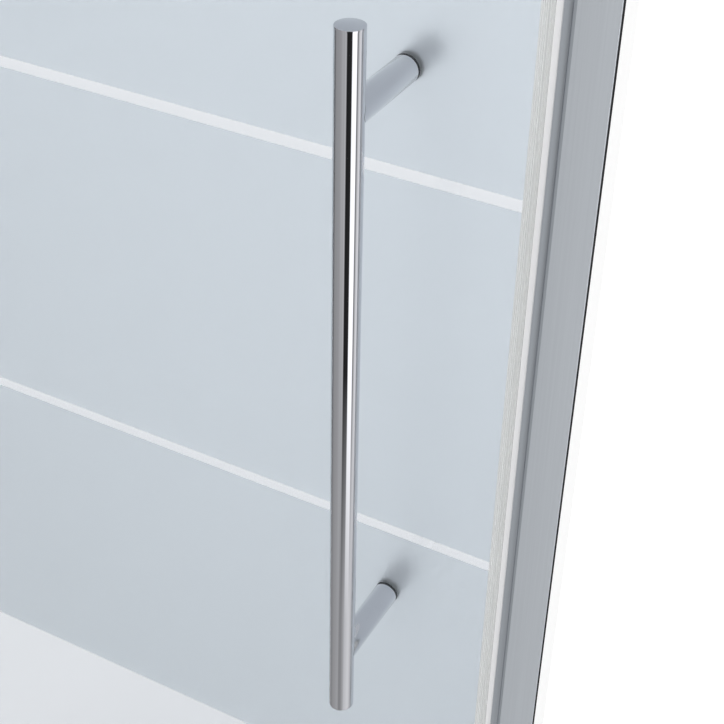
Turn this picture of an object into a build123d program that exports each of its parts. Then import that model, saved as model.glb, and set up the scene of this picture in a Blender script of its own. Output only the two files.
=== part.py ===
from build123d import *
import os

os.makedirs("parts", exist_ok=True)

# Sizes are in mm. X runs from the hinge wall to the strike wall, Y into the shower, Z up.
# The origin is under the threshold, in the middle of the opening, on the glass's mid plane.
opening_width = 800
overall_height = 1900
frame_depth = 26
glass_thickness = 6

# Bedding is the line between the glass and what is pressed on it
# Slip is the play round a fitted piece, and loose the play round one that drops in
bedding = 0.05
slip = 0.05
loose = 0.2

# Wall channel and its sealing tape
tape_thickness = 1.25
tape_setback = 1
channel_base = 2
channel_leg = 1.8
channel_reach = 26.35
channel_edge_radius = 0.8
wall_screw_radius = 2.5
tape_hole_radius = 3.5
wall_screw_heights = (125, 580, 1320, 1775)

# Jamb, which slides in the channel until its lock screws hold it
jamb_wall = 1.5
jamb_tongue_gap = 7
jamb_neck = 2.7
jamb_head = 4.9
jamb_head_fall = 1
pocket_floor = 1.8
pocket_depth = 3
pocket_lip = 1.2
pocket_width = 13
pocket_mouth = 9
lock_screw_heights = (200, 950, 1700)
cap_thickness = 3
cap_edge = 0.75
cap_plug = 8

# Header and threshold rails
header_height = 32
sill_height = 16
rail_wall = 2
rail_edge_radius = 1
bracket_length = 25

# Glass panel, measured from the edges of the opening
glass_above_sill = 14
glass_below_header = 15
hinge_edge_gap = 9.8
glass_corner_radius = 4
glass_arris = 0.4
pivot_backset = 59

# Satin bands on the outer face of the glass
band_height = 300
band_gap = 9
band_count = 3
band_thickness = 0.2
band_setback = 1
band_hole_play = 0.1
bands_centre = 997

# Seals on the edges of the glass
seal_wall = 1.1
seal_leg = 5
seal_body = 4.5
seal_magnet = 4.5
seal_magnet_depth = 10
magnet_reach = 2.6
magnet_gap = 0.5
bulb_radius = 4
bulb_wall = 0.7
sweep_leg = 8
sweep_fin = 0.8
sweep_gap = 1.2
sweep_end_gap = 1

# Pivot clamps, pins and their bearings
clamp_width = 70
clamp_height = 50
clamp_plate = 6
clamp_edge = 1
clamp_screw_spacing = 40
clamp_screw_inset = 27
head_clearance = 1
head_height = 10.5
gasket_thickness = 1
pin_radius = 4
pin_end_from_head = 13.5
bush_radius = 7
bush_flange_radius = 10
bush_flange = 1.5
bush_length = 12
washer_thickness = 0.9
pivot_block_length = 50
upper_block_height = 18

# Handle
bar_radius = 9.5
bar_wall = 1.5
bar_length = 562
bar_reach = 73
standoff_centres = 450
handle_height = 1000
handle_backset = 89.35
bar_cap = 1.5
bar_cap_spigot = 8
bar_insert_length = 24
cope_gap = 0.1
standoff_bore_radius = 5.5
standoff_bore_depth = 50
standoff_insert_length = 14
handle_gasket = 2
handle_hole_radius = 5
knob_length = 32
knob_edge = 1.2
knob_solid_end = 8
stud_play = 1

# Fasteners, by radius of the shank, and the depths of their hexagon sockets
m6 = 3
m5 = 2.5
m4 = 2
self_tapper = 1.95
socket_share = 0.7
shallow_socket = 1
deep_socket = 2.5

# Places worked out from the sizes above
half_width = opening_width / 2
half_depth = frame_depth / 2
half_glass = glass_thickness / 2
top_of_rails = overall_height - cap_thickness
header_bottom = top_of_rails - header_height

channel_back = half_width - tape_thickness
channel_floor = channel_back - channel_base
channel_tip = channel_back - channel_reach
jamb_back = channel_floor - jamb_tongue_gap
jamb_shoulder = channel_tip - jamb_neck
jamb_face = jamb_shoulder - jamb_head
jamb_half_depth = half_depth - channel_leg - loose
pocket_top = jamb_face + pocket_lip
pocket_bottom = pocket_top + pocket_depth
lock_screw_x = (channel_floor + channel_tip) / 2

jamb_magnet_face = jamb_face - magnet_reach
seal_magnet_face = jamb_magnet_face - magnet_gap
seal_magnet_back = seal_magnet_face - seal_magnet
seal_web_start = seal_magnet_back - seal_body
glass_right = seal_web_start - bedding
glass_left = hinge_edge_gap - jamb_face
glass_bottom = sill_height + glass_above_sill
glass_top = header_bottom - glass_below_header
glass_mid_height = (glass_bottom + glass_top) / 2

pressed = half_glass + bedding
plate_seat = pressed + gasket_thickness
clamp_face = plate_seat + clamp_plate
handle_seat = pressed + handle_gasket
pivot_x = glass_left + pivot_backset

handle_x = glass_right - handle_backset
bar_y = -(half_glass + bar_reach)
standoff_heights = [handle_height + half * standoff_centres / 2 for half in (-1, 1)]


def save(piece, name):
    """Label a finished piece and write its STEP file."""
    piece.part.label = name
    export_step(piece.part, f"parts/{name}.step")


def rectangle(low, high, mode=Mode.ADD):
    """Rectangle of the open sketch between two opposite corners."""
    with Locations(((low[0] + high[0]) / 2, (low[1] + high[1]) / 2)):
        Rectangle(abs(high[0] - low[0]), abs(high[1] - low[1]), mode=mode)


def block(low, high, mode=Mode.ADD):
    """Block of the open part between two opposite corners."""
    centre = tuple((a + b) / 2 for a, b in zip(low, high))
    size = [abs(b - a) for a, b in zip(low, high)]
    with Locations(centre):
        Box(*size, mode=mode)


def turned(start, direction, outline, mode=Mode.ADD):
    """Turned solid: the outline's corners are (radius, distance from start along direction)."""
    across = Vector(0, 0, 1) if abs(direction[2]) < 1 else Vector(1, 0, 0)
    along = Vector(*direction)
    with BuildSketch(Plane(origin=start, x_dir=across, z_dir=across.cross(along))) as profile:
        with BuildLine():
            Polyline(*outline, close=True)
        make_face()
    revolve(profile.sketch, axis=Axis(start, direction), mode=mode)


def drilled(start, direction, radius, depth):
    """Round hole of a given depth, cut in the open part."""
    turned(start, direction, [(0, 0), (radius, 0), (radius, depth), (0, depth)], Mode.SUBTRACT)


def screw(start, direction, shank, length, head, head_height, socket_depth):
    """Screw with a flat-topped round head: start is under the head, direction the way it is driven."""
    turned(
        start,
        direction,
        [(0, -head_height), (head, -head_height), (head, 0), (shank, 0), (shank, length), (0, length)],
    )
    hex_socket(start, direction, shank, -head_height, socket_depth)


def countersunk(start, direction, shank, length, socket_depth):
    """Screw with a countersunk head: start is on the head's flat face."""
    cone = [(0, 0), (2 * shank, 0), (shank, shank), (shank, length), (0, length)]
    turned(start, direction, cone)
    hex_socket(start, direction, shank, 0, socket_depth)


def countersink(start, direction, shank, depth):
    """Countersunk clearance hole for the screw above."""
    wide = shank + slip
    cone = [(0, 0), (2 * shank + slip, 0), (wide, shank), (wide, depth), (0, depth)]
    turned(start, direction, cone, Mode.SUBTRACT)


def hex_socket(start, direction, shank, height, depth):
    """Hexagon socket, sized as a share of the shank and sunk in a screw's head."""
    origin = Vector(*start) + Vector(*direction) * height
    with BuildSketch(Plane(origin=origin, z_dir=direction)) as hexagon:
        RegularPolygon(radius=socket_share * shank, side_count=6)
    extrude(hexagon.sketch, amount=depth, mode=Mode.SUBTRACT)


def mirrored_to_hinge_side(piece):
    """The same piece for the hinge side of the opening."""
    with BuildPart() as twin:
        mirror(piece.part, about=Plane.YZ)
    return twin


def mirrored_to_bottom(piece):
    """The same piece for the lower pivot."""
    with BuildPart() as twin:
        mirror(piece.part, about=Plane.XY.offset(glass_mid_height))
    return twin


into_shower = (0, 1, 0)
out_of_shower = (0, -1, 0)
to_strike = (1, 0, 0)
to_hinge = (-1, 0, 0)
up = (0, 0, 1)
down = (0, 0, -1)


# Wall channel: a U section with its back to the wall and holes for the wall screws
with BuildPart() as wall_channel:
    with BuildSketch() as section:
        rectangle((channel_tip, -half_depth), (channel_back, half_depth))
        inside = half_depth - channel_leg
        rectangle((channel_tip, -inside), (channel_floor, inside), Mode.SUBTRACT)
        fillet(section.vertices().group_by(Axis.X)[-1], channel_edge_radius)
    extrude(amount=top_of_rails)
    for height in wall_screw_heights:
        drilled((channel_floor, 0, height), to_strike, wall_screw_radius, channel_base)
    for height in lock_screw_heights:
        drilled((lock_screw_x, inside, height), into_shower, self_tapper + slip, channel_leg)
save(wall_channel, "strike_wall_channel")
save(mirrored_to_hinge_side(wall_channel), "hinge_wall_channel")

# Wall tape: closed-cell foam between the channel and the wall, punched for the wall screws
with BuildPart() as wall_tape:
    edge = half_depth - tape_setback
    block((channel_back, -edge, 0), (half_width, edge, top_of_rails))
    for height in wall_screw_heights:
        drilled((channel_back, 0, height), to_strike, tape_hole_radius, tape_thickness)
save(wall_tape, "strike_wall_tape")
save(mirrored_to_hinge_side(wall_tape), "hinge_wall_tape")

# Jamb: a hollow tongue in the channel and a sloped head with a pocket for a strip
rail_middles = (sill_height / 2, header_bottom + header_height / 2)
bracket_screw_head = 3.5
driver_play = 1
with BuildPart() as jamb:
    with BuildSketch():
        rectangle((jamb_shoulder, -jamb_half_depth), (jamb_back, jamb_half_depth))
        low_edge = half_depth - jamb_head_fall
        with BuildLine():
            Polyline(
                (jamb_face, -half_depth),
                (jamb_shoulder, -low_edge),
                (jamb_shoulder, low_edge),
                (jamb_face, half_depth),
                close=True,
            )
        make_face()
        chamber = jamb_half_depth - jamb_wall
        chamber_start = pocket_bottom + pocket_floor
        chamber_end = jamb_back - jamb_wall
        rectangle((chamber_start, -chamber), (chamber_end, chamber), Mode.SUBTRACT)
        rectangle((pocket_top, -pocket_width / 2), (pocket_bottom, pocket_width / 2), Mode.SUBTRACT)
        rectangle((jamb_face, -pocket_mouth / 2), (pocket_top, pocket_mouth / 2), Mode.SUBTRACT)
    extrude(amount=top_of_rails)
    for height in rail_middles:
        drilled((chamber_start, 0, height), to_hinge, m4 + slip, pocket_floor)
        drilled((chamber_end, 0, height), to_strike, bracket_screw_head + driver_play, jamb_wall)
    for height in lock_screw_heights:
        drilled((lock_screw_x, chamber, height), into_shower, self_tapper + slip, jamb_wall)
save(jamb, "strike_jamb")
save(mirrored_to_hinge_side(jamb), "hinge_jamb")

# Jamb cap: a moulded lid over the channel and the jamb, with a plug in the jamb's chamber
with BuildPart() as jamb_cap:
    block((jamb_face, -half_depth, top_of_rails), (channel_back, half_depth, overall_height))
    chamfer(jamb_cap.faces().sort_by(Axis.Z)[-1].edges(), cap_edge)
    block(
        (chamber_start + slip, slip - chamber, top_of_rails - cap_plug),
        (chamber_end - slip, chamber - slip, top_of_rails),
    )
save(jamb_cap, "strike_jamb_cap")
save(mirrored_to_hinge_side(jamb_cap), "hinge_jamb_cap")

# Lock screws through the channel's inner leg into the jamb, three on each side
lock_head = 4
lock_head_height = 2
lock_length = 7
with BuildPart() as jamb_lock_screws:
    for side in (-1, 1):
        for height in lock_screw_heights:
            seat = (side * lock_screw_x, half_depth, height)
            screw(seat, out_of_shower, self_tapper, lock_length, lock_head, lock_head_height, shallow_socket)
save(jamb_lock_screws, "jamb_lock_screws")

# Snap caps over the lock screws
dome = 6
dome_height = 4
dome_wall = 1.4
with BuildPart() as lock_screw_caps:
    for side in (-1, 1):
        for height in lock_screw_heights:
            turned(
                (side * lock_screw_x, half_depth, height),
                into_shower,
                [
                    (dome - dome_wall, 0),
                    (dome, 0),
                    (dome, dome_height / 2),
                    (dome - dome_wall, dome_height),
                    (0, dome_height),
                    (0, dome_height - dome_wall),
                    (dome - dome_wall, dome_height - dome_wall),
                ],
            )
save(lock_screw_caps, "lock_screw_caps")

# Strips in the jamb pockets: a jacketed magnet on the strike side, a flush infill on the hinge side
strip_low = sill_height + loose
strip_high = header_bottom - loose


def pocket_strip():
    """Foot and neck of a strip that is pressed in the jamb's pocket, in the open sketch."""
    foot = pocket_width / 2 - loose
    neck = pocket_mouth / 2 - loose
    rectangle((pocket_top + loose, -foot), (pocket_bottom, foot))
    rectangle((jamb_face, -neck), (pocket_top + loose, neck))


with BuildPart() as strike_jamb_magnet:
    with BuildSketch(Plane.XY.offset(strip_low)):
        pocket_strip()
        half_magnet = seal_magnet_depth / 2
        rectangle((jamb_magnet_face, -half_magnet), (jamb_face, half_magnet))
    extrude(amount=strip_high - strip_low)
save(strike_jamb_magnet, "strike_jamb_magnet")

with BuildPart() as infill:
    with BuildSketch(Plane.XY.offset(strip_low)):
        pocket_strip()
    extrude(amount=strip_high - strip_low)
save(mirrored_to_hinge_side(infill), "hinge_jamb_infill")

# Rails: box sections between the jamb heads, open for the pivot bush and its block's screws
block_screw_offset = 18
stop_x = 300
stop_screw_offset = 15
rail_screw_x = jamb_face - bracket_length / 2


def rail_section(low, high):
    """Hollow box section of a rail, extruded from jamb to jamb in the open part."""
    with BuildSketch(Plane.YZ.offset(-jamb_face)) as section:
        rectangle((-half_depth, low), (half_depth, high))
        fillet(section.vertices(), rail_edge_radius)
        inner = half_depth - rail_wall
        rectangle((-inner, low + rail_wall), (inner, high - rail_wall), Mode.SUBTRACT)
    extrude(section.sketch, amount=2 * jamb_face)
    for side in (-1, 1):
        middle = (low + high) / 2
        drilled((side * rail_screw_x, inner, middle), into_shower, m4 + slip, rail_wall)


def pivot_openings(height, direction):
    """Bush hole and countersunk holes through the rail wall that faces the door."""
    drilled((pivot_x, 0, height), direction, bush_radius + slip, rail_wall)
    for side in (-1, 1):
        place = (pivot_x + side * block_screw_offset, 0, height)
        countersink(place, direction, m4, 2 * rail_wall)


stop_y = 9
with BuildPart() as header_rail:
    rail_section(header_bottom, top_of_rails)
    pivot_openings(header_bottom, up)
    for side in (-1, 1):
        place = (stop_x + side * stop_screw_offset, stop_y, header_bottom)
        drilled(place, up, self_tapper + slip, rail_wall)
save(header_rail, "header_rail")

with BuildPart() as threshold_sill:
    rail_section(0, sill_height)
    pivot_openings(sill_height, down)
save(threshold_sill, "threshold_sill")

# Corner brackets: blocks in the rails' ends, held by a screw from the jamb and one from the shower side
bracket_screw_reach = 15
bracket_screw_length = pocket_floor + pocket_depth + pocket_lip + bracket_screw_reach
rail_screw_length = 8


def corner_bracket(low, high):
    """Bracket in the strike end of the rail that lies between two heights."""
    inner = half_depth - rail_wall - slip
    with BuildPart() as bracket:
        block(
            (jamb_face - bracket_length, -inner, low + rail_wall + slip),
            (jamb_face, inner, high - rail_wall - slip),
        )
        middle = (low + high) / 2
        drilled((jamb_face, 0, middle), to_hinge, m4 + slip, bracket_screw_reach)
        drilled((rail_screw_x, inner, middle), out_of_shower, m4 + slip, rail_screw_length - rail_wall)
    return bracket


header_bracket = corner_bracket(header_bottom, top_of_rails)
save(header_bracket, "strike_header_bracket")
save(mirrored_to_hinge_side(header_bracket), "hinge_header_bracket")
sill_bracket = corner_bracket(0, sill_height)
save(sill_bracket, "strike_sill_bracket")
save(mirrored_to_hinge_side(sill_bracket), "hinge_sill_bracket")

bracket_head_height = 3
with BuildPart() as jamb_bracket_screws:
    for side, inward in ((1, to_hinge), (-1, to_strike)):
        for height in rail_middles:
            seat = (side * chamber_start, 0, height)
            screw(
                seat,
                inward,
                m4,
                bracket_screw_length,
                bracket_screw_head,
                bracket_head_height,
                shallow_socket,
            )
save(jamb_bracket_screws, "jamb_bracket_screws")

rail_screw_head_height = 1.8
with BuildPart() as rail_fixing_screws:
    for side in (-1, 1):
        for height in rail_middles:
            seat = (side * rail_screw_x, half_depth, height)
            screw(
                seat,
                out_of_shower,
                m4,
                rail_screw_length,
                bracket_screw_head,
                rail_screw_head_height,
                shallow_socket,
            )
save(rail_fixing_screws, "rail_fixing_screws")

# Pivot blocks: solid bearers for the bushes inside the header and the threshold
block_screw_length = 12


def pivot_block(low, high, face, direction):
    """Block between two heights, bored for the bush and tapped for its two screws."""
    inner = half_depth - rail_wall - slip
    half_block = pivot_block_length / 2
    with BuildPart() as bearer:
        block((pivot_x - half_block, -inner, low), (pivot_x + half_block, inner, high))
        drilled((pivot_x, 0, face), direction, bush_radius + slip, high - low)
        for side in (-1, 1):
            place = (pivot_x + side * block_screw_offset, 0, face)
            drilled(place, direction, m4 + slip, block_screw_length - rail_wall)
    return bearer


upper_block_low = header_bottom + rail_wall
upper_block_high = upper_block_low + upper_block_height
save(pivot_block(upper_block_low, upper_block_high, upper_block_low, up), "upper_pivot_block")
lower_block_high = sill_height - rail_wall
save(pivot_block(rail_wall, lower_block_high, lower_block_high, down), "lower_pivot_block")

with BuildPart() as pivot_block_screws:
    for height, direction in ((header_bottom, up), (sill_height, down)):
        for side in (-1, 1):
            place = (pivot_x + side * block_screw_offset, 0, height)
            countersunk(place, direction, m4, block_screw_length, shallow_socket)
save(pivot_block_screws, "pivot_block_screws")

# Flanged bushes, in which the pins turn
bore = pin_radius + slip
bush_outline = [
    (bore, -bush_flange),
    (bush_flange_radius, -bush_flange),
    (bush_flange_radius, 0),
    (bush_radius, 0),
    (bush_radius, bush_length),
    (bore, bush_length),
]
with BuildPart() as upper_pivot_bush:
    turned((pivot_x, 0, header_bottom), up, bush_outline)
save(upper_pivot_bush, "upper_pivot_bush")
with BuildPart() as lower_pivot_bush:
    turned((pivot_x, 0, sill_height), down, bush_outline)
save(lower_pivot_bush, "lower_pivot_bush")

# Thrust washer: the door's weight stands on it
washer_seat = sill_height + bush_flange
with BuildPart() as thrust_washer:
    rim = [
        (bore, 0),
        (bush_flange_radius, 0),
        (bush_flange_radius, washer_thickness),
        (bore, washer_thickness),
    ]
    turned((pivot_x, 0, washer_seat), up, rim)
save(thrust_washer, "thrust_washer")

# Door stop: an angle under the header behind the glass, with a rubber pad and two screws
stop_foot_half = 20
stop_foot_thickness = 3
stop_half = 10
stop_overlap = 9
pad_thickness = 2
pad_gap = 0.5
pad_margin = 1
pad_edge = 0.5
stop_back = 12.5
pad_front = half_glass + pad_gap
stop_front = pad_front + pad_thickness
stop_bottom = glass_top - stop_overlap
with BuildPart() as header_stop:
    foot_bottom = header_bottom - stop_foot_thickness
    block(
        (stop_x - stop_foot_half, stop_front, foot_bottom),
        (stop_x + stop_foot_half, stop_back, header_bottom),
    )
    block((stop_x - stop_half, stop_front, stop_bottom), (stop_x + stop_half, stop_back, foot_bottom))
    for side in (-1, 1):
        place = (stop_x + side * stop_screw_offset, stop_y, foot_bottom)
        drilled(place, up, self_tapper + slip, stop_foot_thickness)
save(header_stop, "header_stop")

with BuildPart() as stop_pad:
    pad_half = stop_half - pad_margin
    block(
        (stop_x - pad_half, pad_front, stop_bottom + pad_margin),
        (stop_x + pad_half, stop_front, glass_top - pad_margin),
    )
    chamfer(stop_pad.faces().sort_by(Axis.Y)[0].edges(), pad_edge)
save(stop_pad, "stop_pad")

with BuildPart() as stop_screws:
    for side in (-1, 1):
        seat = (stop_x + side * stop_screw_offset, stop_y, foot_bottom)
        screw(seat, up, self_tapper, lock_length, bracket_screw_head - slip, lock_head_height, shallow_socket)
save(stop_screws, "stop_screws")

# Glass panel: toughened, with arrissed edges and holes for the clamps and the handle
clamp_screw_places = [
    (pivot_x + side * clamp_screw_spacing / 2, glass_top - clamp_screw_inset) for side in (-1, 1)
]
clamp_hole_radius = 6
with BuildPart() as glass_panel:
    with BuildSketch(Plane.XZ) as pane:
        rectangle((glass_left, glass_bottom), (glass_right, glass_top))
        fillet(pane.vertices(), glass_corner_radius)
    extrude(amount=half_glass, both=True)
    rims = glass_panel.faces().filter_by(Axis.Y).edges()
    chamfer(rims, glass_arris)
    for x, height in clamp_screw_places:
        drilled((x, -half_glass, height), into_shower, clamp_hole_radius, glass_thickness)
        low_height = 2 * glass_mid_height - height
        drilled((x, -half_glass, low_height), into_shower, clamp_hole_radius, glass_thickness)
    for height in standoff_heights:
        drilled((handle_x, -half_glass, height), into_shower, handle_hole_radius, glass_thickness)
save(glass_panel, "glass_panel")

# Satin bands: three etched-look layers between the seals, open round the handle's outer gaskets
band_pitch = band_height + band_gap
with BuildPart() as satin_bands:
    left = glass_left + seal_leg + band_setback
    right = glass_right - seal_leg - slip
    for step in range(band_count):
        middle = bands_centre + (step - (band_count - 1) / 2) * band_pitch
        block(
            (left, -pressed - band_thickness, middle - band_height / 2),
            (right, -pressed, middle + band_height / 2),
        )
    for height in standoff_heights:
        drilled((handle_x, -pressed, height), out_of_shower, bar_radius + band_hole_play, band_thickness)
save(satin_bands, "satin_bands")

# Strike seal: a clear section over the glass's edge, with a hollow body that carries the magnet
seal_outside = pressed + seal_wall
with BuildPart() as strike_seal:
    with BuildSketch(Plane.XY.offset(glass_bottom)):
        rectangle((glass_right - seal_leg, -seal_outside), (seal_magnet_back, seal_outside))
        rectangle((glass_right - seal_leg, -pressed), (seal_web_start, pressed), Mode.SUBTRACT)
        rectangle(
            (seal_web_start + seal_wall, seal_wall - seal_outside),
            (seal_magnet_back - seal_wall, seal_outside - seal_wall),
            Mode.SUBTRACT,
        )
    extrude(amount=glass_top - glass_bottom)
save(strike_seal, "strike_seal")

# Magnet strip of the strike seal, in its white jacket
with BuildPart() as strike_seal_magnet:
    with BuildSketch(Plane.XY.offset(glass_bottom)) as jacket:
        rectangle((seal_magnet_back, -half_magnet), (seal_magnet_face, half_magnet))
        fillet(jacket.vertices().group_by(Axis.X)[-1], seal_wall / 2)
    extrude(amount=glass_top - glass_bottom)
save(strike_seal_magnet, "strike_seal_magnet")

# Hinge seal: a clear section over the glass's other edge, ending in a soft bulb
with BuildPart() as hinge_seal:
    with BuildSketch(Plane.XY.offset(glass_bottom)):
        web_start = glass_left - bedding
        web_end = web_start - seal_wall
        rectangle((web_end, -seal_outside), (glass_left + seal_leg, seal_outside))
        rectangle((web_start, -pressed), (glass_left + seal_leg, pressed), Mode.SUBTRACT)
        with Locations((web_end - bulb_radius + bulb_wall, 0)):
            Circle(bulb_radius)
            Circle(bulb_radius - bulb_wall, mode=Mode.SUBTRACT)
    extrude(amount=glass_top - glass_bottom)
save(hinge_seal, "hinge_seal")

# Bottom sweep: a clear section under the glass with two fins that wipe over the threshold
with BuildPart() as bottom_sweep:
    sweep_start = pivot_x + clamp_width / 2 + sweep_end_gap
    sweep_end = glass_right - seal_leg - sweep_end_gap
    web_top = glass_bottom - bedding
    with BuildSketch(Plane.YZ.offset(sweep_start)):
        rectangle((-seal_outside, web_top - seal_wall), (seal_outside, glass_bottom + sweep_leg))
        rectangle((-pressed, web_top), (pressed, glass_bottom + sweep_leg), Mode.SUBTRACT)
        for side in (-1, 1):
            fin = side * (seal_outside - sweep_fin)
            rectangle((fin, sill_height + sweep_gap), (fin + side * sweep_fin, web_top - seal_wall))
    extrude(amount=sweep_end - sweep_start)
save(bottom_sweep, "bottom_sweep")

# Pivot clamps: an outer cover plate and an inner block whose head holds the pin past the glass's edge
clamp_left = pivot_x - clamp_width / 2
clamp_right = pivot_x + clamp_width / 2
clamp_low = glass_top - clamp_height
head_low = glass_top + head_clearance
head_high = head_low + head_height
head_middle = (head_low + head_high) / 2

with BuildPart() as clamp_outer:
    block((clamp_left, -clamp_face, clamp_low), (clamp_right, -plate_seat, glass_top))
    chamfer(clamp_outer.faces().sort_by(Axis.Y)[0].edges(), clamp_edge)
    for x, height in clamp_screw_places:
        countersink((x, -clamp_face, height), into_shower, m6, clamp_plate)
save(clamp_outer, "upper_clamp_outer")
save(mirrored_to_bottom(clamp_outer), "lower_clamp_outer")

clamp_screw_setback = 1
clamp_screw_length = 2 * clamp_face - clamp_screw_setback
grub_length = 5.5
with BuildPart() as clamp_inner:
    block((clamp_left, plate_seat, clamp_low), (clamp_right, clamp_face, head_low))
    block((clamp_left, -clamp_face, head_low), (clamp_right, clamp_face, head_high))
    chamfer(clamp_inner.faces().sort_by(Axis.Y)[-1].edges(), clamp_edge)
    chamfer(clamp_inner.faces().sort_by(Axis.Y)[0].edges(), clamp_edge)
    drilled((pivot_x, 0, head_low), up, pin_radius + slip, head_height)
    drilled((pivot_x, clamp_face, head_middle), out_of_shower, m5 + slip, clamp_face - pin_radius)
    for x, height in clamp_screw_places:
        drilled((x, plate_seat, height), into_shower, m6 + slip, clamp_plate)
save(clamp_inner, "upper_clamp_inner")
save(mirrored_to_bottom(clamp_inner), "lower_clamp_inner")

with BuildPart() as clamp_gaskets:
    for near, far in ((-plate_seat, -pressed), (pressed, plate_seat)):
        block((clamp_left, near, clamp_low), (clamp_right, far, glass_top))
    for x, height in clamp_screw_places:
        drilled((x, -plate_seat, height), into_shower, clamp_hole_radius, 2 * plate_seat)
save(clamp_gaskets, "upper_clamp_gaskets")
save(mirrored_to_bottom(clamp_gaskets), "lower_clamp_gaskets")

with BuildPart() as clamp_screws:
    for x, height in clamp_screw_places:
        countersunk((x, -clamp_face, height), into_shower, m6, clamp_screw_length, deep_socket)
save(clamp_screws, "upper_clamp_screws")
save(mirrored_to_bottom(clamp_screws), "lower_clamp_screws")

# Nylon sleeves that keep the clamp screws off the glass
with BuildPart() as clamp_sleeves:
    sleeve = [
        (m6 + slip, 0),
        (clamp_hole_radius - 2 * slip, 0),
        (clamp_hole_radius - 2 * slip, glass_thickness),
        (m6 + slip, glass_thickness),
    ]
    for x, height in clamp_screw_places:
        turned((x, -half_glass, height), into_shower, sleeve)
        turned((x, -half_glass, 2 * glass_mid_height - height), into_shower, sleeve)
save(clamp_sleeves, "clamp_sleeves")

# Pivot pins: pressed in the clamp heads, with a small lead-in at the free end
lead_in = 1
pin_length = head_height + pin_end_from_head
with BuildPart() as pivot_pin:
    stem = [
        (0, 0),
        (pin_radius, 0),
        (pin_radius, pin_length - lead_in),
        (pin_radius - lead_in, pin_length),
        (0, pin_length),
    ]
    turned((pivot_x, 0, head_low), up, stem)
save(pivot_pin, "upper_pivot_pin")
save(mirrored_to_bottom(pivot_pin), "lower_pivot_pin")

with BuildPart() as pivot_grub_screws:
    for height in (head_middle, 2 * glass_mid_height - head_middle):
        start = (pivot_x, clamp_face, height)
        stub = [(0, 0), (m5, 0), (m5, grub_length), (0, grub_length)]
        turned(start, out_of_shower, stub)
        hex_socket(start, out_of_shower, m5, 0, deep_socket)
save(pivot_grub_screws, "pivot_grub_screws")

# Handle bar: a polished tube, cross-drilled for the two screws that draw it on the standoffs
tube_bore = bar_radius - bar_wall
tube_low = handle_height - bar_length / 2 + bar_cap
tube_high = handle_height + bar_length / 2 - bar_cap
with BuildPart() as handle_bar:
    with BuildSketch(Plane.XY.offset(tube_low)):
        with Locations((handle_x, bar_y)):
            Circle(bar_radius)
            Circle(tube_bore, mode=Mode.SUBTRACT)
    extrude(amount=tube_high - tube_low)
    for height in standoff_heights:
        drilled((handle_x, bar_y, height), into_shower, m6 + loose, bar_radius)
save(handle_bar, "handle_bar")

# End caps: flat discs with a spigot pressed in the tube
edge_break = 0.4
with BuildPart() as handle_end_caps:
    for height, direction in ((tube_low, down), (tube_high, up)):
        disc = [
            (0, -bar_cap_spigot),
            (tube_bore - slip, -bar_cap_spigot),
            (tube_bore - slip, 0),
            (bar_radius, 0),
            (bar_radius, bar_cap - edge_break),
            (bar_radius - edge_break, bar_cap),
            (0, bar_cap),
        ]
        turned((handle_x, bar_y, height), direction, disc)
save(handle_end_caps, "handle_end_caps")

# Inserts in the tube, which the bar screws are driven into
insert_hole_depth = tube_bore + m6
with BuildPart() as bar_inserts:
    for height in standoff_heights:
        start = (handle_x, bar_y, height - bar_insert_length / 2)
        plug = tube_bore - slip
        turned(start, up, [(0, 0), (plug, 0), (plug, bar_insert_length), (0, bar_insert_length)])
        drilled((handle_x, bar_y + tube_bore, height), out_of_shower, m6 + slip, insert_hole_depth)
save(bar_inserts, "bar_inserts")

# Standoffs: rods as thick as the bar, coped to fit round it and bored for their screw
standoff_end = -handle_seat
standoff_length = standoff_end - bar_y


def standoff(height):
    """Standoff at one height, from its gasket to the bar."""
    with BuildPart() as rod:
        turned(
            (handle_x, standoff_end, height),
            out_of_shower,
            [
                (m6 + loose, standoff_length),
                (bar_radius, standoff_length),
                (bar_radius, 0),
                (standoff_bore_radius, 0),
                (standoff_bore_radius, standoff_bore_depth),
                (m6 + loose, standoff_bore_depth),
            ],
        )
        with BuildSketch(Plane.XY.offset(height - 2 * bar_radius)):
            with Locations((handle_x, bar_y)):
                Circle(bar_radius + cope_gap)
        extrude(amount=4 * bar_radius, mode=Mode.SUBTRACT)
    return rod


for name, height in zip(("lower_standoff", "upper_standoff"), standoff_heights):
    save(standoff(height), name)

bar_screw_head = 5
bar_screw_head_height = 6
bar_screw_seat = standoff_end - standoff_bore_depth
bar_screw_length = bar_screw_seat - bar_y + m6 - loose
with BuildPart() as bar_screws:
    for height in standoff_heights:
        seat = (handle_x, bar_screw_seat, height)
        screw(seat, out_of_shower, m6, bar_screw_length, bar_screw_head, bar_screw_head_height, deep_socket)
save(bar_screws, "bar_screws")

# Threaded inserts in the standoffs' glass ends
with BuildPart() as standoff_inserts:
    wide = standoff_bore_radius - slip
    bush = [(m6 + slip, 0), (wide, 0), (wide, standoff_insert_length), (m6 + slip, standoff_insert_length)]
    for height in standoff_heights:
        turned((handle_x, standoff_end, height), out_of_shower, bush)
save(standoff_inserts, "standoff_inserts")

# Studs that join the standoffs to the inner knobs through the glass
stud_outside = standoff_insert_length - stud_play
stud_inside = knob_length - knob_solid_end
stud_length = 2 * handle_seat + stud_outside + stud_inside
with BuildPart() as glass_studs:
    for height in standoff_heights:
        start = (handle_x, standoff_end - stud_outside, height)
        turned(start, into_shower, [(0, 0), (m6, 0), (m6, stud_length), (0, stud_length)])
save(glass_studs, "glass_studs")

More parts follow.
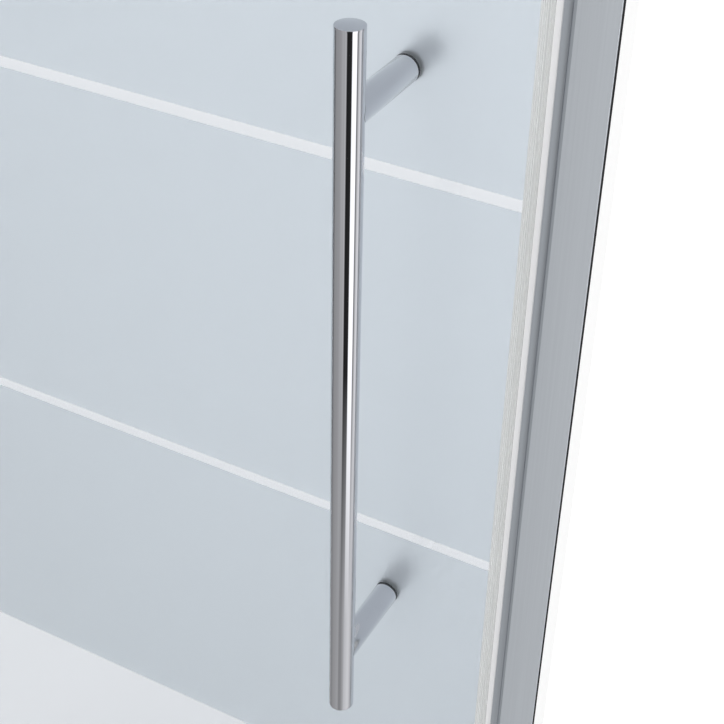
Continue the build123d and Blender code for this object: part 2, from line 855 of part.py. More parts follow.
# Clear sleeves that keep the studs off the glass
with BuildPart() as glass_sleeves:
    wide = handle_hole_radius - 2 * slip
    tube = [(m6 + slip, 0), (wide, 0), (wide, glass_thickness), (m6 + slip, glass_thickness)]
    for height in standoff_heights:
        turned((handle_x, -half_glass, height), into_shower, tube)
save(glass_sleeves, "glass_sleeves")


def gasket_pair(start_y):
    """Two rubber rings against one face of the glass, one at each standoff."""
    ring = [
        (m6 + loose, 0),
        (bar_radius, 0),
        (bar_radius, handle_gasket),
        (m6 + loose, handle_gasket),
    ]
    with BuildPart() as rings:
        for height in standoff_heights:
            turned((handle_x, start_y, height), into_shower, ring)
    return rings


save(gasket_pair(-handle_seat), "outer_gaskets")
save(gasket_pair(pressed), "inner_gaskets")

# Inner knobs: round caps on the shower side, tapped for the studs
with BuildPart() as inner_knobs:
    tap = m6 + slip
    tap_depth = stud_inside + stud_play
    for height in standoff_heights:
        turned(
            (handle_x, handle_seat, height),
            into_shower,
            [
                (tap, 0),
                (bar_radius, 0),
                (bar_radius, knob_length - knob_edge),
                (bar_radius - knob_edge, knob_length),
                (0, knob_length),
                (0, tap_depth),
                (tap, tap_depth),
            ],
        )
save(inner_knobs, "inner_knobs")
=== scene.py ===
from math import pi, radians

import bpy
from mathutils import Matrix, Vector


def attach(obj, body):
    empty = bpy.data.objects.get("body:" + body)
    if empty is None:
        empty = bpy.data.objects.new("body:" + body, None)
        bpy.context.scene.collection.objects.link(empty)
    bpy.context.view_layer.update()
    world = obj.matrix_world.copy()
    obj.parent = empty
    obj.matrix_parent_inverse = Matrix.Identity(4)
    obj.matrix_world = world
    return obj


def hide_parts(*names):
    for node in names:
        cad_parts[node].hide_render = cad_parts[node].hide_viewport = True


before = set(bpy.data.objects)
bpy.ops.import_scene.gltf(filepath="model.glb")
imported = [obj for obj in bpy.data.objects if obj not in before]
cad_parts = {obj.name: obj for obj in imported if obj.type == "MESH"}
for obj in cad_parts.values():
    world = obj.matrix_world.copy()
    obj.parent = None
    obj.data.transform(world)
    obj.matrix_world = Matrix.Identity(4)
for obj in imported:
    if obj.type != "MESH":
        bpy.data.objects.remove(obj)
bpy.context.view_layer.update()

# Wall channels
# Each is one aluminium extrusion, a U with its back to the wall, satin anodised after a brushing along
# its length. Screws through the back hold it, and the foot of the jamb slides between its legs.
MM = 0.001
channel_edge = 0.35 * MM
edge_steps = 2
aluminium_light = (0.66, 0.70, 0.745, 1)
aluminium_dark = (0.57, 0.605, 0.65, 1)
drawn_upright = (900, 900, 6)


def only(piece):
    """Selects this object alone and makes it the active one."""
    if bpy.context.mode != "OBJECT":
        bpy.ops.object.mode_set(mode="OBJECT")
    bpy.ops.object.select_all(action="DESELECT")
    piece.select_set(True)
    bpy.context.view_layer.objects.active = piece


def finish_piece(piece, materials, slot, body, *nodes):
    """Gives a piece its materials, and lets it ride on a body and stand for CAD nodes. The slot is not used.
    """
    piece.data.materials.clear()
    for material in materials:
        piece.data.materials.append(material)
    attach(piece, body)
    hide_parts(*nodes)


def round_edges(piece, edge):
    """Rounds a piece's sharp edges and shades it smooth between them."""
    only(piece)
    if edge:
        bevel = piece.modifiers.new("edges", "BEVEL")
        bevel.width = edge
        bevel.segments = edge_steps
        bevel.limit_method = "ANGLE"
        bevel.angle_limit = radians(35)
        bevel.harden_normals = False
        bpy.ops.object.modifier_apply(modifier="edges")
    bpy.ops.object.shade_smooth_by_angle(angle=radians(32))


def dressed(node, name, edge):
    """Copy of a CAD node's shape as one clean surface with its sharp edges rounded."""
    piece = bpy.data.objects.new(name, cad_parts[node].data.copy())
    bpy.context.scene.collection.objects.link(piece)
    only(piece)
    bpy.ops.mesh.customdata_custom_splitnormals_clear()
    bpy.ops.object.mode_set(mode="EDIT")
    bpy.ops.mesh.select_all(action="SELECT")
    bpy.ops.mesh.remove_doubles(threshold=0.002 * MM)
    bpy.ops.mesh.dissolve_limited(angle_limit=radians(0.5))
    bpy.ops.object.mode_set(mode="OBJECT")
    round_edges(piece, edge)
    return piece


def new_material(name):
    """New material: itself, its nodes' tree, its shader and its object coordinates."""
    material = bpy.data.materials.new(name)
    material.use_nodes = True
    tree = material.node_tree
    coordinates = tree.nodes.new("ShaderNodeTexCoord").outputs["Object"]
    return material, tree, tree.nodes["Principled BSDF"], coordinates


def stretched(tree, vector, scale):
    """Object coordinates scaled so that a pattern runs along the axis with the smallest scale."""
    mapping = tree.nodes.new("ShaderNodeMapping")
    mapping.inputs["Scale"].default_value = scale
    tree.links.new(vector, mapping.inputs["Vector"])
    return mapping.outputs["Vector"]


def new_effect(name, inputs, outputs):
    """Shader node group with named sockets: its tree, its input and its output node."""
    tree = bpy.data.node_groups.new(name, "ShaderNodeTree")
    for label, kind, value in inputs:
        socket = tree.interface.new_socket(name=label, in_out="INPUT", socket_type=kind)
        if value is not None:
            socket.default_value = value
    for label, kind in outputs:
        tree.interface.new_socket(name=label, in_out="OUTPUT", socket_type=kind)
    return tree, tree.nodes.new("NodeGroupInput").outputs, tree.nodes.new("NodeGroupOutput").inputs


def noise(tree, vector, scale=1.0, detail=2.0, roughness=0.5):
    """Noise value over a vector."""
    node = tree.nodes.new("ShaderNodeTexNoise")
    node.inputs["Detail"].default_value = detail
    node.inputs["Roughness"].default_value = roughness
    if isinstance(scale, bpy.types.NodeSocket):
        tree.links.new(scale, node.inputs["Scale"])
    else:
        node.inputs["Scale"].default_value = scale
    tree.links.new(vector, node.inputs["Vector"])
    return node.outputs["Fac"]


def between(tree, value, low, high, start=0.0, end=1.0):
    """Value moved from start..end to low..high, each a number or a socket."""
    node = tree.nodes.new("ShaderNodeMapRange")
    for socket, given in zip(node.inputs, (value, start, end, low, high)):
        if isinstance(given, bpy.types.NodeSocket):
            tree.links.new(given, socket)
        else:
            socket.default_value = given
    return node.outputs["Result"]


def blended(tree, share, first, second):
    """Colour between two colours, each a tuple or a socket."""
    node = tree.nodes.new("ShaderNodeMix")
    node.data_type = "RGBA"
    tree.links.new(share, node.inputs["Factor"])
    for socket, given in ((node.inputs[6], first), (node.inputs[7], second)):
        if isinstance(given, bpy.types.NodeSocket):
            tree.links.new(given, socket)
        else:
            socket.default_value = given
    return node.outputs[2]


COLOUR, NUMBER, POINT = "NodeSocketColor", "NodeSocketFloat", "NodeSocketVector"
SURFACE_INPUTS = [
    ("Vector", POINT, None),
    ("Light", COLOUR, (0.8, 0.8, 0.8, 1)),
    ("Dark", COLOUR, (0.6, 0.6, 0.6, 1)),
    ("Smooth", NUMBER, 0.3),
    ("Rough", NUMBER, 0.5),
]
SURFACE_OUTPUTS = [("Colour", COLOUR), ("Roughness", NUMBER), ("Height", NUMBER)]

# Fine lines of a brushed or drawn surface, on coordinates that are stretched along the lines
brushing, given, made = new_effect("brushing", SURFACE_INPUTS, SURFACE_OUTPUTS)
lines = noise(brushing, given["Vector"], 1.0, 4.0, 0.65)
clouds = noise(brushing, given["Vector"], 0.06, 2.0)
brushing.links.new(blended(brushing, lines, given["Dark"], given["Light"]), made["Colour"])
mixed = between(brushing, clouds, given["Smooth"], given["Rough"], 0.3, 0.7)
brushing.links.new(mixed, made["Roughness"])
brushing.links.new(lines, made["Height"])


def textured(name, group, light, dark, smooth, rough, depth, scale, metallic=0.0):
    """Material whose colour, roughness and relief come from one of the surface effects."""
    material, tree, shader, place = new_material(name)
    node = tree.nodes.new("ShaderNodeGroup")
    node.node_tree = group
    tree.links.new(stretched(tree, place, scale), node.inputs["Vector"])
    node.inputs["Light"].default_value = light
    node.inputs["Dark"].default_value = dark
    node.inputs["Smooth"].default_value = smooth
    node.inputs["Rough"].default_value = rough
    bump = tree.nodes.new("ShaderNodeBump")
    bump.inputs["Strength"].default_value = 0.4
    bump.inputs["Distance"].default_value = depth
    tree.links.new(node.outputs["Height"], bump.inputs["Height"])
    tree.links.new(node.outputs["Colour"], shader.inputs["Base Color"])
    tree.links.new(node.outputs["Roughness"], shader.inputs["Roughness"])
    tree.links.new(bump.outputs["Normal"], shader.inputs["Normal"])
    shader.inputs["Metallic"].default_value = metallic
    return material


satin_aluminium = textured(
    "satin_aluminium",
    brushing,
    aluminium_light,
    aluminium_dark,
    0.32,
    0.40,
    0.02 * MM,
    drawn_upright,
    metallic=0.6,
)
for side in ("strike", "hinge"):
    channel = dressed(f"{side}_wall_channel", f"{side}_channel_extrusion", channel_edge)
    finish_piece(channel, [satin_aluminium], "satin_aluminium", "frame", f"{side}_wall_channel")

# Foam tapes
# Black closed-cell foam between channel and wall, with a white adhesive film on the face to the wall. Its
# black front edge also serves as a painted shadow gap along the channel's back edge.
wall_side = 399.9 * MM
grain, given, made = new_effect("grain", SURFACE_INPUTS, SURFACE_OUTPUTS)
specks = noise(grain, given["Vector"], 1.0, 3.0, 0.6)
tone = noise(grain, given["Vector"], 0.05, 2.0)
grain.links.new(blended(grain, tone, given["Dark"], given["Light"]), made["Colour"])
grain.links.new(between(grain, specks, given["Smooth"], given["Rough"], 0.3, 0.7), made["Roughness"])
grain.links.new(specks, made["Height"])


def clad(node, material):
    """Gives a CAD node that keeps its shape a material."""
    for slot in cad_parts[node].material_slots:
        slot.material = material


# Black of the foam, which also paints the shadow gap behind the channel.
shadow_foam_light, shadow_foam_dark = (0.022, 0.022, 0.025, 1), (0.012, 0.012, 0.014, 1)
black_foam = textured("black_foam", grain, shadow_foam_light, shadow_foam_dark, 0.8, 0.95, 0.1 * MM, (1400,) * 3)
film_light, film_dark = (0.95, 0.95, 0.95, 1), (0.92, 0.92, 0.92, 1)
white_film = textured("white_film", grain, film_light, film_dark, 0.4, 0.55, 0.01 * MM, (600,) * 3)
for side in ("strike", "hinge"):
    tape = dressed(f"{side}_wall_tape", f"{side}_foam_tape", 0)
    finish_piece(tape, [black_foam, white_film], "black_foam", "frame", f"{side}_wall_tape")
    for face in tape.data.polygons:
        face.material_index = int(abs(face.center.x) > wall_side)

# Jambs
# Hollow extrusions whose foot slides in the channel. The head stands out past the channel's legs, and
# its face slopes back a little. Their colour is painted a shade darker than the channel's, as painted shade
# on the head and in the gap behind it.
# Darker copy of the channel's aluminium: painted shade.
jamb_aluminium = textured(
    "jamb_aluminium",
    brushing,
    (0.47, 0.505, 0.545, 1),
    (0.41, 0.44, 0.48, 1),
    0.26,
    0.34,
    0.02 * MM,
    drawn_upright,
    metallic=0.65,
)
for side in ("strike", "hinge"):
    jamb = dressed(f"{side}_jamb", f"{side}_jamb_extrusion", 0.12 * MM)
    finish_piece(jamb, [jamb_aluminium], "jamb_aluminium", "frame", f"{side}_jamb")

# Strips in the jambs' pockets
# On the strike side a magnet in a white soft jacket, on the other a plain grey infill.
white_light, white_dark = (0.96, 0.96, 0.97, 1), (0.93, 0.93, 0.94, 1)
white_seal = textured("white_seal", grain, white_light, white_dark, 0.32, 0.45, 0.02 * MM, (500, 500, 30))
grey_light, grey_dark = (0.50, 0.51, 0.53, 1), (0.44, 0.45, 0.47, 1)
grey_plastic = textured("grey_plastic", grain, grey_light, grey_dark, 0.42, 0.6, 0.05 * MM, (1500,) * 3)
jacket = dressed("strike_jamb_magnet", "jamb_magnet_jacket", 0.3 * MM)
finish_piece(jacket, [white_seal], "white_seal", "frame", "strike_jamb_magnet")
infill = dressed("hinge_jamb_infill", "hinge_pocket_infill", 0.15 * MM)
finish_piece(infill, [grey_plastic], "grey_plastic", "frame", "hinge_jamb_infill")

# Header and threshold
# Two box extrusions between the jambs, with holes for the bushes and their blocks' screws.
rail_aluminium = textured(
    "rail_aluminium",
    brushing,
    aluminium_light,
    aluminium_dark,
    0.32,
    0.40,
    0.02 * MM,
    (6, 900, 900),
    metallic=0.6,
)
for node, name in (("header_rail", "header_extrusion"), ("threshold_sill", "threshold_extrusion")):
    rail = dressed(node, name, 0.3 * MM)
    finish_piece(rail, [rail_aluminium], "satin_aluminium", "frame", node)

# Corner brackets and pivot blocks
# Die castings inside the rails, with the dull skin that the mould leaves.
cast_light, cast_dark = (0.46, 0.46, 0.47, 1), (0.38, 0.38, 0.39, 1)
cast_alloy = textured("cast_alloy", grain, cast_light, cast_dark, 0.5, 0.65, 0.1 * MM, (700,) * 3, 0.8)
for node in (
    "strike_header_bracket",
    "hinge_header_bracket",
    "strike_sill_bracket",
    "hinge_sill_bracket",
    "upper_pivot_block",
    "lower_pivot_block",
    "bar_inserts",
):
    clad(node, cast_alloy)

# Screws, pins and inserts
# Turned or cold headed stainless steel, plain.
steel_light, steel_dark = (0.60, 0.59, 0.58, 1), (0.50, 0.49, 0.48, 1)
stainless_steel = textured(
    "stainless_steel", brushing, steel_light, steel_dark, 0.22, 0.34, 0.01 * MM, (1500, 60, 1500), 1.0
)
for node in (
    "jamb_bracket_screws",
    "rail_fixing_screws",
    "jamb_lock_screws",
    "pivot_block_screws",
    "stop_screws",
    "thrust_washer",
    "upper_clamp_screws",
    "lower_clamp_screws",
    "upper_pivot_pin",
    "lower_pivot_pin",
    "pivot_grub_screws",
    "bar_screws",
    "standoff_inserts",
    "glass_studs",
):
    clad(node, stainless_steel)

# Jamb caps and screw caps
# Moulded grey lids on the jambs' upper ends, and round snap caps over the lock screws on the shower side.
lock_screw_x = 384.575 * MM
lock_screw_heights = (200 * MM, 950 * MM, 1700 * MM)
frame_back = 13 * MM
snap_cap_outline = [(4.6, 2.6), (4.6, 0), (6.0, 0), (6.0, 2.0), (5.7, 3.2), (4.9, 3.9), (3.6, 4.0)]


def turned_piece(name, outline, solid=False, sides=96):
    """Piece of revolution round Z, drawn out ring by ring along its corners of (radius, height) in mm.

    A solid one starts and ends with a flat disc. Any other is a tube whose outline closes on itself.
    """
    radius, height = outline[0]
    bpy.ops.object.select_all(action="DESELECT")
    bpy.ops.mesh.primitive_circle_add(
        vertices=sides,
        radius=radius * MM,
        fill_type="NGON" if solid else "NOTHING",
        location=(0, 0, height * MM),
    )
    piece = bpy.context.object
    piece.name = piece.data.name = name
    bpy.ops.object.mode_set(mode="EDIT")
    bpy.ops.mesh.select_all(action="SELECT")
    for wide, high in outline[1:] if solid else outline[1:] + outline[:1]:
        bpy.ops.mesh.extrude_region_move(TRANSFORM_OT_translate={"value": (0, 0, (high - height) * MM)})
        share = wide / radius
        bpy.ops.transform.resize(value=(share, share, 1), center_override=(0, 0, high * MM))
        radius, height = wide, high
    bpy.ops.mesh.select_all(action="SELECT")
    bpy.ops.mesh.remove_doubles(threshold=0.001 * MM)
    bpy.ops.mesh.normals_make_consistent(inside=False)
    bpy.ops.object.mode_set(mode="OBJECT")
    bpy.ops.object.transform_apply()
    return piece


def set_down(piece, place, tip=0):
    """Tips a piece made along Z about the X axis and moves its origin's end to a place, all in its mesh."""
    only(piece)
    piece.rotation_euler = (radians(tip), 0, 0)
    piece.location = place
    bpy.ops.object.transform_apply()


def copied(piece, name):
    """Copy of a piece with a mesh of its own."""
    twin = piece.copy()
    twin.data = piece.data.copy()
    twin.name = twin.data.name = name
    bpy.context.scene.collection.objects.link(twin)
    return twin


INTO_SHOWER, OUT_OF_SHOWER, DOWNWARD = -90, 90, 180
for side in ("strike", "hinge"):
    lid = dressed(f"{side}_jamb_cap", f"{side}_jamb_lid", 0.2 * MM)
    finish_piece(lid, [grey_plastic], "grey_plastic", "frame", f"{side}_jamb_cap")
snap_cap = turned_piece("snap_cap", snap_cap_outline, solid=True, sides=48)
round_edges(snap_cap, 0)
for x in (-lock_screw_x, lock_screw_x):
    for height in lock_screw_heights:
        cap = copied(snap_cap, f"snap_cap_{'strike' if x > 0 else 'hinge'}_{round(height / MM)}")
        set_down(cap, (x, frame_back, height), INTO_SHOWER)
        finish_piece(cap, [grey_plastic], "grey_plastic", "frame", "lock_screw_caps")
bpy.data.objects.remove(snap_cap)

# Bushes
# Turned acetal, white, pressed in the pivot blocks.
acetal_light, acetal_dark = (0.85, 0.85, 0.83, 1), (0.80, 0.80, 0.78, 1)
white_acetal = textured("white_acetal", grain, acetal_light, acetal_dark, 0.25, 0.35, 0.01 * MM, (900,) * 3)
clad("upper_pivot_bush", white_acetal)
clad("lower_pivot_bush", white_acetal)

# Door stop
# An aluminium angle under the header with a black rubber pad, which the closed glass rests on.
rubber_light, rubber_dark = (0.03, 0.033, 0.037, 1), (0.018, 0.02, 0.023, 1)
black_rubber = textured("black_rubber", grain, rubber_light, rubber_dark, 0.55, 0.7, 0.05 * MM, (1600,) * 3)
stop = dressed("header_stop", "door_stop", 0.5 * MM)
finish_piece(stop, [rail_aluminium], "jamb_aluminium", "frame", "header_stop")
pad = dressed("stop_pad", "door_stop_pad", 0.15 * MM)
finish_piece(pad, [black_rubber], "black_rubber", "frame", "stop_pad")

# Glass panel
# Six millimetre toughened glass with a faint grey-blue tint. Its ground and polished edges gather the
# light that crosses the pane, so they look darker and greener than its faces.
glass_tint = (0.695, 0.718, 0.75, 1)
edge_tint = (0.16, 0.24, 0.23, 1)
glass_ior = 1.52


def lets_lamps_through(material, tree, shader, tint):
    """Glass that light from lamps crosses, so that it casts a pale shadow."""
    path = tree.nodes.new("ShaderNodeLightPath")
    clear = tree.nodes.new("ShaderNodeBsdfTransparent")
    clear.inputs["Color"].default_value = tint
    choice = tree.nodes.new("ShaderNodeMixShader")
    tree.links.new(path.outputs["Is Shadow Ray"], choice.inputs["Fac"])
    tree.links.new(shader.outputs["BSDF"], choice.inputs[1])
    tree.links.new(clear.outputs["BSDF"], choice.inputs[2])
    tree.links.new(choice.outputs["Shader"], tree.nodes["Material Output"].inputs["Surface"])


def see_through(name, tint, transmission, ior, low, high, scale, detail=3.0):
    """Glassy material whose roughness wanders between two values."""
    material, tree, shader, place = new_material(name)
    shader.inputs["Base Color"].default_value = tint
    shader.inputs["Transmission Weight"].default_value = transmission
    shader.inputs["IOR"].default_value = ior
    spread = noise(tree, stretched(tree, place, scale), 1.0, detail)
    tree.links.new(between(tree, spread, low, high, 0.35, 0.7), shader.inputs["Roughness"])
    lets_lamps_through(material, tree, shader, tint)
    return material


clear_glass = see_through("clear_glass", glass_tint, 1.0, glass_ior, 0.0, 0.03, (9, 9, 9))
glass_edge = see_through("glass_edge", edge_tint, 0.6, glass_ior, 0.12, 0.3, (400, 400, 400))
pane = dressed("glass_panel", "glass_pane", 0)
finish_piece(pane, [clear_glass, glass_edge], "clear_glass", "door", "glass_panel")
for face in pane.data.polygons:
    face.material_index = int(abs(face.normal.y) < 0.9)

# Satin bands
# The outer face of the glass has three etched bands that let light through but blur what is behind.
satin_tint = (0.885, 0.937, 0.975, 1)
satin_glass = see_through("satin_glass", satin_tint, 0.92, 1.45, 0.37, 0.45, (600, 600, 600), 2.0)
clad("satin_bands", satin_glass)

# Strike seal and its magnet
# A milky vinyl extrusion pushed on the glass's edge. Its hollow body carries a magnet in a white jacket.
vinyl_tint = (0.94, 0.955, 0.95, 1)
clear_vinyl = see_through("clear_vinyl", vinyl_tint, 0.4, 1.5, 0.24, 0.30, (900, 900, 0.4))
for node, name in (("strike_seal", "strike_seal_extrusion"), ("hinge_seal", "hinge_seal_extrusion")):
    seal = dressed(node, name, 0.12 * MM)
    finish_piece(seal, [clear_vinyl], "clear_vinyl", "door", node)
sweep_vinyl = see_through("sweep_vinyl", vinyl_tint, 0.4, 1.5, 0.24, 0.30, (0.4, 900, 900))
sweep = dressed("bottom_sweep", "bottom_sweep_extrusion", 0.12 * MM)
finish_piece(sweep, [sweep_vinyl], "clear_vinyl", "door", "bottom_sweep")
jacket = dressed("strike_seal_magnet", "seal_magnet_jacket", 0.3 * MM)
finish_piece(jacket, [white_seal], "white_seal", "door", "strike_seal_magnet")

# Pivot clamps
# Solid brass plates, polished and chromed, that grip the glass through rubber.
chrome_light = (0.635, 0.64, 0.675, 1)
chrome_dark = (0.59, 0.595, 0.63, 1)
polished_chrome = textured(
    "polished_chrome", brushing, chrome_light, chrome_dark, 0.03, 0.07, 0.002 * MM, (1400, 1400, 10), 1.0
)
for corner in ("upper", "lower"):
    for half in ("outer", "inner"):
        plate = dressed(f"{corner}_clamp_{half}", f"{corner}_clamp_{half}_plate", 0.3 * MM)
        finish_piece(plate, [polished_chrome], "polished_chrome", "door", f"{corner}_clamp_{half}")
    clad(f"{corner}_clamp_gaskets", black_rubber)

# Sleeves
# Translucent nylon rings that keep the screws off the glass.
nylon_tint = (0.85, 0.86, 0.85, 1)
clear_nylon = see_through("clear_nylon", nylon_tint, 0.5, 1.5, 0.35, 0.5, (300, 300, 300))
clad("clamp_sleeves", clear_nylon)
clad("glass_sleeves", clear_nylon)

# Handle bar
# A polished tube, cross-drilled on the side to the glass for the screws that draw it on the standoffs.
handle_x, bar_y = 263.3 * MM, -76 * MM
bar_radius, bar_bore = 9.5, 8.0
tube_low, tube_length = 720.5 * MM, 559.0
standoff_heights = {"lower": 775 * MM, "upper": 1225 * MM}
hole_radius, hole_zone = 3.2, 6.0
tube_outline = [(bar_bore, 0), (bar_radius, 0)]
for height in standoff_heights.values():
    for edge in (-hole_zone, hole_zone):
        tube_outline.append((bar_radius, (height - tube_low) / MM + edge))
tube_outline += [(bar_radius, tube_length), (bar_bore, tube_length)]


def cut(piece, cutter):
    """Takes the cutter's volume out of a piece and removes the cutter."""
    only(piece)
    taken = piece.modifiers.new("taken", "BOOLEAN")
    taken.operation = "DIFFERENCE"
    taken.solver = "EXACT"
    taken.object = cutter
    bpy.ops.object.modifier_apply(modifier="taken")
    bpy.data.objects.remove(cutter)


tube = turned_piece("bar_tube", tube_outline)
set_down(tube, (handle_x, bar_y, tube_low))
for height in standoff_heights.values():
    drill = turned_piece("drill", [(hole_radius, 0), (hole_radius, 2 * bar_radius)], solid=True, sides=32)
    set_down(drill, (handle_x, bar_y, height), INTO_SHOWER)
    cut(tube, drill)
round_edges(tube, 0)
finish_piece(tube, [polished_chrome], "polished_chrome", "door", "handle_bar")

# End caps
# Turned from the bar's stock and pressed in the tube. The flat face is left satin, the rim is polished.
cap_outline = [(7.95, -8), (7.95, 0), (bar_radius, 0), (bar_radius, 1.25), (9.42, 1.42), (9.25, 1.5)]
disc_light, disc_dark = (0.53, 0.555, 0.59, 1), (0.48, 0.505, 0.54, 1)
brushed_ends = textured(
    "brushed_ends", grain, disc_light, disc_dark, 0.30, 0.42, 0.01 * MM, (1500, 1500, 1500), 0.9
)
end_cap = turned_piece("upper_end_cap", cap_outline, solid=True)
round_edges(end_cap, 0)
for face in end_cap.data.polygons:
    face.material_index = int(face.normal.z > 0.99 and face.center.z > 1 * MM)
lower_end_cap = copied(end_cap, "lower_end_cap")
set_down(end_cap, (handle_x, bar_y, tube_low + tube_length * MM))
set_down(lower_end_cap, (handle_x, bar_y, tube_low), DOWNWARD)
for cap in (end_cap, lower_end_cap):
    finish_piece(cap, [polished_chrome, brushed_ends], "brushed_ends", "door", "handle_end_caps")

# Standoffs
# Rods of the bar's stock, coped to fit round it, bored from the glass end for their screw and insert.
# Their chrome's colour is painted lighter where they are seen at a slant, a painted highlight along their
# edges.
standoff_foot = -5.05 * MM
rod_length = (standoff_foot - bar_y) / MM
bore_radius, bore_depth = 5.5, 50
rod_outline = [(bore_radius, 0), (9.1, 0), (9.38, 0.12), (bar_radius, 0.4), (bar_radius, rod_length)]
rod_outline += [(hole_radius, rod_length), (hole_radius, bore_depth), (bore_radius, bore_depth)]
cope_radius, cope_half = 9.6, 20
turned_chrome = textured(
    "turned_chrome", brushing, chrome_light, chrome_dark, 0.07, 0.12, 0.002 * MM, (1400, 10, 1400), 1.0
)
# Painted highlight: the colour goes from the chrome's own to a lighter one towards the grazing edges.
painted_rim_highlight = (0.74, 0.75, 0.77, 1)
tree = turned_chrome.node_tree
colour = tree.nodes["Principled BSDF"].inputs["Base Color"]
facing = tree.nodes.new("ShaderNodeLayerWeight").outputs["Facing"]
rim = between(tree, facing, 0.0, 1.0, 0.50, 0.90)
tree.links.new(blended(tree, rim, colour.links[0].from_socket, painted_rim_highlight), colour)
for name, height in standoff_heights.items():
    rod = turned_piece(f"{name}_standoff_rod", rod_outline)
    set_down(rod, (handle_x, standoff_foot, height), OUT_OF_SHOWER)
    cope = turned_piece("cope", [(cope_radius, -cope_half), (cope_radius, cope_half)], solid=True, sides=192)
    set_down(cope, (handle_x, bar_y, height))
    cut(rod, cope)
    round_edges(rod, 0)
    finish_piece(rod, [turned_chrome], "polished_chrome", "door", f"{name}_standoff")

# Gaskets and knobs
# Black rubber rings on both faces of the glass, and round caps on the shower side.
glass_line = 3.05 * MM
ring_thickness = 2.0 * MM
ring_top, ring_edge = ring_thickness / MM, 0.1
ring_outline = [(hole_radius, 0), (bar_radius - ring_edge, 0), (bar_radius, ring_edge)]
ring_outline += [(bar_radius, ring_top - ring_edge), (bar_radius - ring_edge, ring_top)]
ring_outline.append((hole_radius, ring_top))
knob_outline = [(3.05, 25), (3.05, 0), (9.3, 0), (9.5, 0.2)]
knob_outline += [(9.5, 30.8), (9.35, 31.4), (8.9, 31.85), (8.3, 32)]
for name, height in standoff_heights.items():
    for face, start in (("outer", -glass_line - ring_thickness), ("inner", glass_line)):
        ring = turned_piece(f"{name}_{face}_ring", ring_outline)
        set_down(ring, (handle_x, start, height), INTO_SHOWER)
        round_edges(ring, 0)
        finish_piece(ring, [black_rubber], "black_rubber", "door", f"{face}_gaskets")
    knob = turned_piece(f"{name}_knob", knob_outline, solid=True)
    set_down(knob, (handle_x, glass_line + ring_thickness, height), INTO_SHOWER)
    round_edges(knob, 0)
    # The knobs share the standoffs' chrome, painted rim highlight included.
    finish_piece(knob, [turned_chrome], "polished_chrome", "door", "inner_knobs")

# Floor
# A plain pale floor that the door stands on. It is white to the camera where nothing shades it.
floor_half = 30.0
bpy.ops.object.select_all(action="DESELECT")
bpy.ops.mesh.primitive_plane_add(size=2 * floor_half, location=(0, 0, 0))
floor = bpy.context.object
floor.name = "floor"
floor.visible_glossy = False
floor_finish, tree, shader, place = new_material("floor_finish")
shader.inputs["Base Color"].default_value = (0.70, 0.70, 0.70, 1)
shader.inputs["Roughness"].default_value = 0.9
shader.inputs["Specular IOR Level"].default_value = 0.0
path = tree.nodes.new("ShaderNodeLightPath")
seen = tree.nodes.new("ShaderNodeMath")
seen.operation = "MAXIMUM"
tree.links.new(path.outputs["Is Camera Ray"], seen.inputs[0])
tree.links.new(path.outputs["Is Transmission Ray"], seen.inputs[1])
shader.inputs["Emission Color"].default_value = (1, 1, 1, 1)
tree.links.new(between(tree, seen.outputs["Value"], 0.0, 0.42), shader.inputs["Emission Strength"])
floor.data.materials.append(floor_finish)

# Studio
# A plain room of soft light. Polished metal sees broad pale and dark screens round the door.
world = bpy.data.worlds.new("studio")
bpy.context.scene.world = world
world.use_nodes = True
world.cycles.sampling_method = "NONE"
tree = world.node_tree
background = tree.nodes["Background"]
direction = tree.nodes.new("ShaderNodeTexCoord").outputs["Generated"]
parts = tree.nodes.new("ShaderNodeSeparateXYZ")
tree.links.new(direction, parts.inputs["Vector"])
turn = tree.nodes.new("ShaderNodeMath")
turn.operation = "ARCTAN2"
tree.links.new(parts.outputs["Y"], turn.inputs[0])
tree.links.new(parts.outputs["X"], turn.inputs[1])
round_about = between(tree, turn.outputs["Value"], 0.0, 1.0, -pi, pi)


def ring_of_screens(levels):
    """Colour round about the door, from pairs of a bearing and the brightness there."""
    ramp = tree.nodes.new("ShaderNodeValToRGB")
    stops = ramp.color_ramp.elements
    while len(stops) < len(levels):
        stops.new(0.5)
    for stop, (bearing, level) in zip(stops, levels):
        stop.position = (bearing + 180) / 360
        stop.color = (level, level, level, 1)
    tree.links.new(round_about, ramp.inputs["Fac"])
    return ramp.outputs["Color"]


upper_screens = ring_of_screens([
    (-180, 0.27),
    (-165, 0.40),
    (-125, 0.45),
    (-108, 0.57),
    (-95, 0.54),
    (-87, 0.70),
    (-82, 0.45),
    (-79, 0.02),
    (-46, 0.03),
    (-41, 1.75),
    (-11, 1.75),
    (-7, 0.20),
    (-2, 0.30),
    (4, 0.70),
    (20, 1.10),
    (36, 0.50),
    (44, 0.80),
    (138, 0.85),
    (144, 0.40),
    (149, 0.01),
    (171, 0.01),
])
lower_screens = ring_of_screens([
    (-180, 0.28),
    (-165, 0.34),
    (-150, 0.42),
    (-98, 0.53),
    (-88, 0.35),
    (-72, 0.36),
    (-52, 0.56),
    (-38, 0.78),
    (-5, 0.95),
    (8, 0.84),
    (45, 0.45),
    (65, 0.60),
    (75, 1.00),
    (150, 1.00),
    (172, 0.45),
])
low = between(tree, parts.outputs["Z"], 1.0, 0.0, -0.72, -0.60)
about = blended(tree, low, upper_screens, lower_screens)
sky = between(tree, parts.outputs["Z"], 0.0, 1.0, 0.05, 0.5)
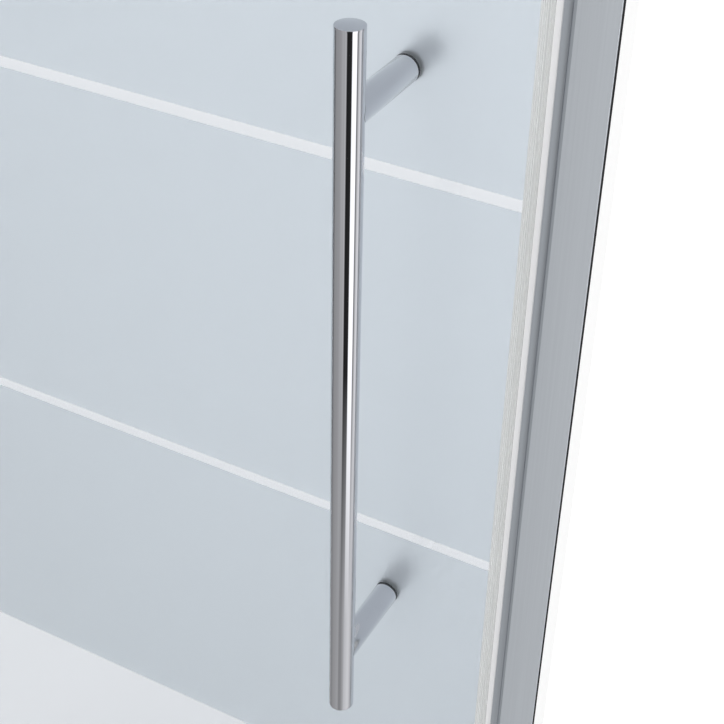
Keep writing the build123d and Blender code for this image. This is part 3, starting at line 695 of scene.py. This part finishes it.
about = blended(tree, sky, about, (0.72, 0.72, 0.72, 1))
path = tree.nodes.new("ShaderNodeLightPath")
lit = blended(tree, path.outputs["Is Glossy Ray"], (0.62, 0.62, 0.62, 1), about)
seen = tree.nodes.new("ShaderNodeMath")
seen.operation = "MAXIMUM"
tree.links.new(path.outputs["Is Camera Ray"], seen.inputs[0])
tree.links.new(path.outputs["Is Transmission Ray"], seen.inputs[1])
tree.links.new(blended(tree, seen.outputs["Value"], lit, (1, 1, 1, 1)), background.inputs["Color"])


def soft_lamp(name, towards, strength):
    """Broad even light from one side, given as the direction from the door to the lamp."""
    data = bpy.data.lights.new(name, "SUN")
    data.energy = strength
    data.angle = radians(50)
    lamp = bpy.data.objects.new(name, data)
    lamp.location = Vector(towards) * 3
    lamp.rotation_mode = "QUATERNION"
    lamp.rotation_quaternion = Vector(towards).to_track_quat("Z", "Y")
    lamp.visible_glossy = False
    lamp.visible_transmission = False
    bpy.context.scene.collection.objects.link(lamp)


soft_lamp("key_lamp", (-0.45, -0.75, 0.65), 0.85)
soft_lamp("fill_lamp", (0.6, -0.6, 0.5), 0.45)
soft_lamp("back_lamp", (0.2, 0.75, 0.8), 0.5)
soft_lamp("side_lamp", (1.0, 0.15, 0.3), 1.0)

# Camera
# It stands above and to the right of the handle and looks down at it, as the photographer did.
handle_point = Vector((263.3, -3.0, 1000.0)) * MM
camera_offset = Vector((377.8, -765.6, 627.6)) * MM
look_left, look_down, tilt = radians(27.84), radians(36.33), radians(1.23)
camera_data = bpy.data.cameras.new("camera")
camera_data.sensor_width = 36
camera_data.lens = 74.92
camera = bpy.data.objects.new("camera", camera_data)
turned = (
    Matrix.Rotation(look_left, 4, "Z")
    @ Matrix.Rotation(radians(90) - look_down, 4, "X")
    @ Matrix.Rotation(tilt, 4, "Z")
)
camera.matrix_world = Matrix.Translation(handle_point + camera_offset) @ turned
bpy.context.scene.collection.objects.link(camera)
bpy.context.scene.camera = camera
bpy.context.scene.view_settings.view_transform = "Standard"
